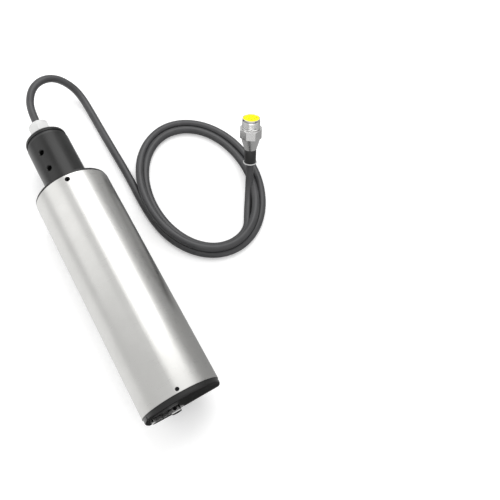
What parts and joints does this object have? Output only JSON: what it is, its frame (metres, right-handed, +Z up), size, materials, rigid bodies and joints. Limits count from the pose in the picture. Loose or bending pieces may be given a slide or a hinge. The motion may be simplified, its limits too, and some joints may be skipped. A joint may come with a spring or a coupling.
{
  "type": "water quality probe",
  "caption": "Submersible water quality probe: steel tube with a wiped optical sensing face, threaded collar, cable gland, coiled cable and round connector.",
  "frame": {"origin": "middle of the ground footprint of the probe without its cable", "axes": "+Z up, +Y along the probe from the sensing face towards the cable, +X towards the coiled cable"},
  "size_m": [0.1861, 0.3067, 0.06],
  "materials": {
    "stainless": "satin brushed",
    "polished_steel": "fine turned",
    "black_steel": "black oxide",
    "nickel": "satin nickel plate",
    "bronze": "machined",
    "aluminium": "machined",
    "magnet": "matte",
    "black_plastic": "satin",
    "white_nylon": "satin",
    "yellow_plastic": "satin",
    "black_rubber": "matte",
    "grey_rubber": "matte",
    "cable_jacket": "satin",
    "red_pvc": "gloss",
    "grey_pvc": "satin",
    "window_glass": "polished",
    "dark_lens": "gloss",
    "board_green": "solder resist",
    "chip_black": "matte",
    "terminal_green": "satin",
    "gold_contact": "plated"
  },
  "bodies": {
    "probe": {"tube_shell": "stainless", "tail_screws": "black_steel", "head_screws": "black_steel", "sensor_head": "black_plastic", "head_orings": "black_rubber", "optical_windows": "window_glass", "infrared_emitter": "dark_lens", "photo_receiver": "dark_lens", "optics_board": "board_green", "shaft_seal": "black_rubber", "shaft_bush": "bronze", "gearcase": "aluminium", "gearcase_plate": "aluminium", "gearcase_screws": "polished_steel", "bracket_screws": "polished_steel", "motor_can": "polished_steel", "motor_magnets": "magnet", "motor_endbell": "white_nylon", "tie_rods": "polished_steel", "board_carriers": "black_plastic", "main_board": "board_green", "board_parts": "chip_black", "terminal_block": "terminal_green", "ribbon_cable": "grey_pvc", "motor_leads": "red_pvc", "tail_cap": "black_plastic", "tail_orings": "black_rubber", "collar_lid": "black_plastic", "collar_oring": "black_rubber", "gland_body": "white_nylon", "gland_seal": "grey_rubber", "gland_nut": "white_nylon", "inner_cable": "cable_jacket", "cable_cores": "red_pvc", "sensor_cable": "cable_jacket", "cable_coil": "cable_jacket", "cable_tail": "cable_jacket", "connector_boot": "black_plastic", "boot_ring": "white_nylon", "connector_nut": "nickel", "connector_sleeve": "nickel", "connector_insert": "yellow_plastic", "connector_contacts": "gold_contact"},
    "wiper": {"wiper_hub": "polished_steel", "hub_set_screw": "black_steel", "wiper_arm": "polished_steel", "wiper_blade": "black_rubber", "wiper_shaft": "polished_steel", "output_gear": "bronze"},
    "idler": {"idler_gear": "bronze"},
    "rotor": {"motor_pinion": "bronze", "motor_rotor": "polished_steel"}
  },
  "joints": [
    {"name": "wiper_turn", "type": "hinge", "parent": "probe", "child": "wiper", "pos_m": [-0.0065, -0.12595, 0.03], "axis": [0, -1, 0], "range_deg": [0, 112]},
    {"name": "idler_turn", "type": "hinge", "parent": "probe", "child": "idler", "pos_m": [0.0061, -0.09775, 0.03], "axis": [0, -1, 0], "range_deg": [-280, 0]},
    {"name": "rotor_turn", "type": "hinge", "parent": "probe", "child": "rotor", "pos_m": [-0.0065, -0.08275, 0.03], "axis": [0, -1, 0], "range_deg": [0, 700]}
  ],
  "couplings": [
    {"joint": "idler_turn", "follows": "wiper_turn", "ratio": -2.5},
    {"joint": "rotor_turn", "follows": "wiper_turn", "ratio": 6.25}
  ]
}
